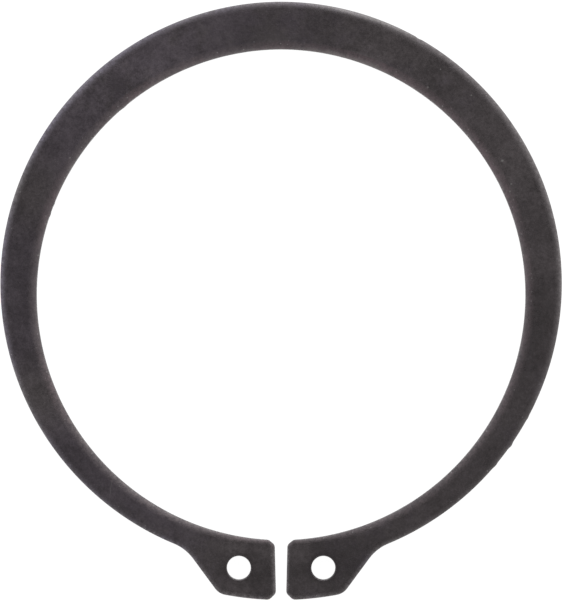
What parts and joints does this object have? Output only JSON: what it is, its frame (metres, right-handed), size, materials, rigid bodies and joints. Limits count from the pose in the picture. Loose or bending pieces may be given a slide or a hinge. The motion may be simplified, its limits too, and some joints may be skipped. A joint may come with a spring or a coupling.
{
  "type": "external retaining ring",
  "caption": "Flat, tapering C-shaped ring of dark spring steel with lugs and plier holes beside its gap; it snaps into a groove on a shaft and stops parts sliding along it.",
  "frame": {"origin": "middle of the inner edge, on the lower face that the ring lies on", "axes": "+Z along the shaft's axis, out of the face with the rolled edges; -Y towards the gap and its lugs; +X towards the right-hand lug"},
  "size_m": [0.075, 0.08, 0.0025],
  "materials": {
    "phosphated_steel": "dark grey phosphate coat, satin, lightly rubbed along the edges"
  },
  "bodies": {
    "root": {"retaining_ring": "phosphated_steel"}
  },
  "joints": []
}
